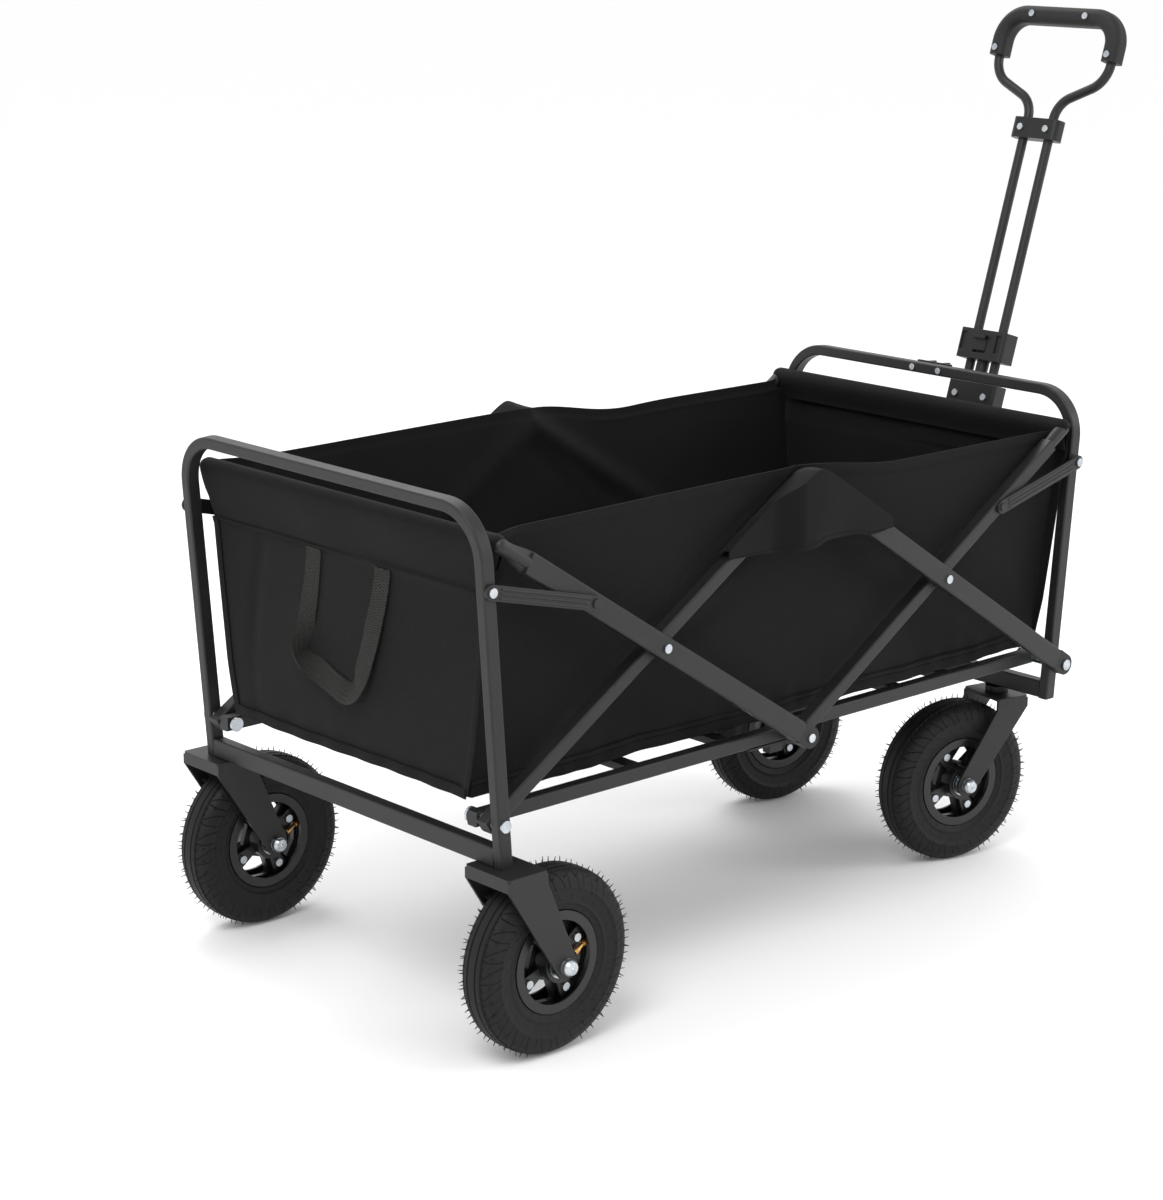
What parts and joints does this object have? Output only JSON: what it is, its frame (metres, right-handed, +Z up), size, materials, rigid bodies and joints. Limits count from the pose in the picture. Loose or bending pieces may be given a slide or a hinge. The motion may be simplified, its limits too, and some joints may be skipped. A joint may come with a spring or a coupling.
{
  "type": "folding utility wagon",
  "caption": "Folding utility wagon with a fabric tub on a scissor frame, pneumatic style wheels, swivel casters in front and a telescopic pull handle with a loop grip.",
  "frame": {"origin": "on the floor, under the middle of the bounding box", "axes": "+X forwards to the handle, +Y to the wagon's left, +Z up"},
  "size_m": [1.205, 0.5772, 1.0145],
  "materials": {
    "painted_steel": "satin",
    "black_plastic": "satin",
    "zinc": "satin",
    "tyre_rubber": "matte",
    "black_fabric": "matte"
  },
  "bodies": {
    "rear_frame": {"rear_frame_tube": "painted_steel", "rear_cross_tube": "painted_steel", "rear_frame_pins": "zinc", "rear_fork_right": "painted_steel", "rear_fork_left": "painted_steel", "rear_axle_right": "zinc", "rear_axle_left": "zinc"},
    "rear_bars": {"rear_bar_right": "painted_steel", "rear_bar_left": "painted_steel", "rear_bar_pins": "zinc"},
    "rear_hoop": {"rear_hoop_tube": "painted_steel", "rear_hoop_caps": "black_plastic", "rear_hoop_pins": "zinc"},
    "front_bars": {"front_bar_right": "painted_steel", "front_bar_left": "painted_steel", "front_bar_caps": "black_plastic", "front_bar_pins": "zinc"},
    "front_hoop": {"front_hoop_tube": "painted_steel"},
    "front_frame": {"front_frame_tube": "painted_steel", "front_cross_tube": "painted_steel", "front_frame_pins": "zinc", "caster_cups": "black_plastic", "handle_mounts": "painted_steel"},
    "rear_links": {"rear_links": "painted_steel"},
    "front_links": {"front_links": "painted_steel"},
    "base_rear": {"base_rear_frame": "painted_steel", "base_hinge_plates": "black_plastic", "tub_floor_rear": "black_fabric"},
    "base_front": {"base_front_frame": "painted_steel", "tub_floor_front": "black_fabric"},
    "tub": {"side_wall_right": "black_fabric", "side_wall_left": "black_fabric"},
    "rear_panel": {"rear_panel": "black_fabric", "webbing_strap": "black_fabric"},
    "front_panel": {"front_panel": "black_fabric"},
    "caster_right": {"caster_fork_right": "painted_steel", "caster_axle_right": "zinc"},
    "caster_left": {"caster_fork_left": "painted_steel", "caster_axle_left": "zinc"},
    "wheel_rear_right": {"tyre_rear_right": "tyre_rubber", "rim_rear_right": "black_plastic", "hub_parts_rear_right": "zinc"},
    "wheel_rear_left": {"tyre_rear_left": "tyre_rubber", "rim_rear_left": "black_plastic", "hub_parts_rear_left": "zinc"},
    "wheel_front_right": {"tyre_front_right": "tyre_rubber", "rim_front_right": "black_plastic", "hub_parts_front_right": "zinc"},
    "wheel_front_left": {"tyre_front_left": "tyre_rubber", "rim_front_left": "black_plastic", "hub_parts_front_left": "zinc"},
    "handle": {"handle_stem": "painted_steel", "latch_block": "black_plastic"},
    "handle_lever": {"latch_lever": "black_plastic"},
    "handle_rods": {"slider_block": "black_plastic", "handle_loop": "painted_steel", "loop_clamp": "black_plastic", "grip_shell_front": "black_plastic", "grip_shell_back": "black_plastic", "handle_screws": "zinc"}
  },
  "joints": [
    {"name": "fold", "type": "hinge", "parent": "rear_frame", "child": "rear_bars", "pos_m": [-0.56224, 0, 0.257], "axis": [0, -1, 0], "range_deg": [0, 43], "deforming": ["side_wall_right", "side_wall_left", "tub_floor_rear", "tub_floor_front"]},
    {"name": "rear_scissor", "type": "hinge", "parent": "rear_bars", "child": "rear_hoop", "pos_m": [-0.33924, 0, 0.4], "axis": [0, -1, 0], "range_deg": [-86.6, 0]},
    {"name": "top_node", "type": "hinge", "parent": "rear_bars", "child": "front_bars", "pos_m": [-0.11624, 0, 0.543], "axis": [0, -1, 0], "range_deg": [-86.6, 0]},
    {"name": "front_scissor", "type": "hinge", "parent": "front_bars", "child": "front_hoop", "pos_m": [0.10676, 0, 0.4], "axis": [0, -1, 0], "range_deg": [0, 86.6]},
    {"name": "front_frame_pivot", "type": "hinge", "parent": "front_bars", "child": "front_frame", "pos_m": [0.32976, 0, 0.257], "axis": [0, -1, 0], "range_deg": [0, 43.6]},
    {"name": "tub_hang", "type": "hinge", "parent": "rear_bars", "child": "tub", "pos_m": [-0.11624, 0, 0.543], "axis": [0, -1, 0], "range_deg": [-43.6, 0]},
    {"name": "rear_panel_hang", "type": "hinge", "parent": "rear_hoop", "child": "rear_panel", "pos_m": [-0.56224, 0, 0.543], "axis": [0, -1, 0], "range_deg": [0, 43.6]},
    {"name": "front_panel_hang", "type": "hinge", "parent": "front_hoop", "child": "front_panel", "pos_m": [0.32976, 0, 0.543], "axis": [0, -1, 0], "range_deg": [-43.6, 0]},
    {"name": "rear_link_pivot", "type": "hinge", "parent": "rear_frame", "child": "rear_links", "pos_m": [-0.58146, 0, 0.50125], "axis": [0, -1, 0], "range_deg": [0, 82.39]},
    {"name": "front_link_pivot", "type": "hinge", "parent": "front_frame", "child": "front_links", "pos_m": [0.34898, 0, 0.50125], "axis": [0, -1, 0], "range_deg": [-82.39, 0]},
    {"name": "base_rear_pivot", "type": "hinge", "parent": "rear_frame", "child": "base_rear", "pos_m": [-0.56224, 0, 0.257], "axis": [0, -1, 0], "range_deg": [0, 73.48]},
    {"name": "base_front_pivot", "type": "hinge", "parent": "front_frame", "child": "base_front", "pos_m": [0.32976, 0, 0.257], "axis": [0, -1, 0], "range_deg": [-73.48, 0]},
    {"name": "rear_wheel_right_spin", "type": "hinge", "parent": "rear_frame", "child": "wheel_rear_right", "pos_m": [-0.50224, -0.247, 0.1], "axis": [0, 1, 0], "continuous": true},
    {"name": "rear_wheel_left_spin", "type": "hinge", "parent": "rear_frame", "child": "wheel_rear_left", "pos_m": [-0.50224, 0.247, 0.1], "axis": [0, 1, 0], "continuous": true},
    {"name": "caster_right_swivel", "type": "hinge", "parent": "front_frame", "child": "caster_right", "pos_m": [0.32697, -0.152, 0.203], "axis": [0, 0, 1], "continuous": true},
    {"name": "front_wheel_right_spin", "type": "hinge", "parent": "caster_right", "child": "wheel_front_right", "pos_m": [0.26241, -0.13828, 0.1], "axis": [0.2079, 0.9781, 0], "continuous": true},
    {"name": "caster_left_swivel", "type": "hinge", "parent": "front_frame", "child": "caster_left", "pos_m": [0.32697, 0.152, 0.203], "axis": [0, 0, 1], "continuous": true},
    {"name": "front_wheel_left_spin", "type": "hinge", "parent": "caster_left", "child": "wheel_front_left", "pos_m": [0.26178, 0.16232, 0.1], "axis": [0.1564, 0.9877, 0], "continuous": true},
    {"name": "handle_pivot", "type": "hinge", "parent": "front_frame", "child": "handle", "pos_m": [0.35476, 0, 0.235], "axis": [0, 1, 0], "range_deg": [-13.5, 70]},
    {"name": "handle_slide", "type": "slide", "parent": "handle", "child": "handle_rods", "axis": [0.2924, 0, 0.9563], "range_m": [-0.235, 0]},
    {"name": "latch_lever_flip", "type": "hinge", "parent": "handle", "child": "handle_lever", "pos_m": [0.45032, 0, 0.59374], "axis": [0, -1, 0], "range_deg": [0, 70]}
  ],
  "couplings": [
    {"joint": "rear_scissor", "follows": "fold", "ratio": -2},
    {"joint": "top_node", "follows": "fold", "ratio": -2},
    {"joint": "front_scissor", "follows": "fold", "ratio": 2},
    {"joint": "front_frame_pivot", "follows": "fold", "ratio": 1},
    {"joint": "tub_hang", "follows": "fold", "ratio": -1},
    {"joint": "rear_panel_hang", "follows": "fold", "ratio": 1},
    {"joint": "front_panel_hang", "follows": "fold", "ratio": -1},
    {"joint": "rear_link_pivot", "follows": "fold", "ratio": 1.902},
    {"joint": "front_link_pivot", "follows": "fold", "ratio": -1.902},
    {"joint": "base_rear_pivot", "follows": "fold", "ratio": 1.695},
    {"joint": "base_front_pivot", "follows": "fold", "ratio": -1.695}
  ]
}
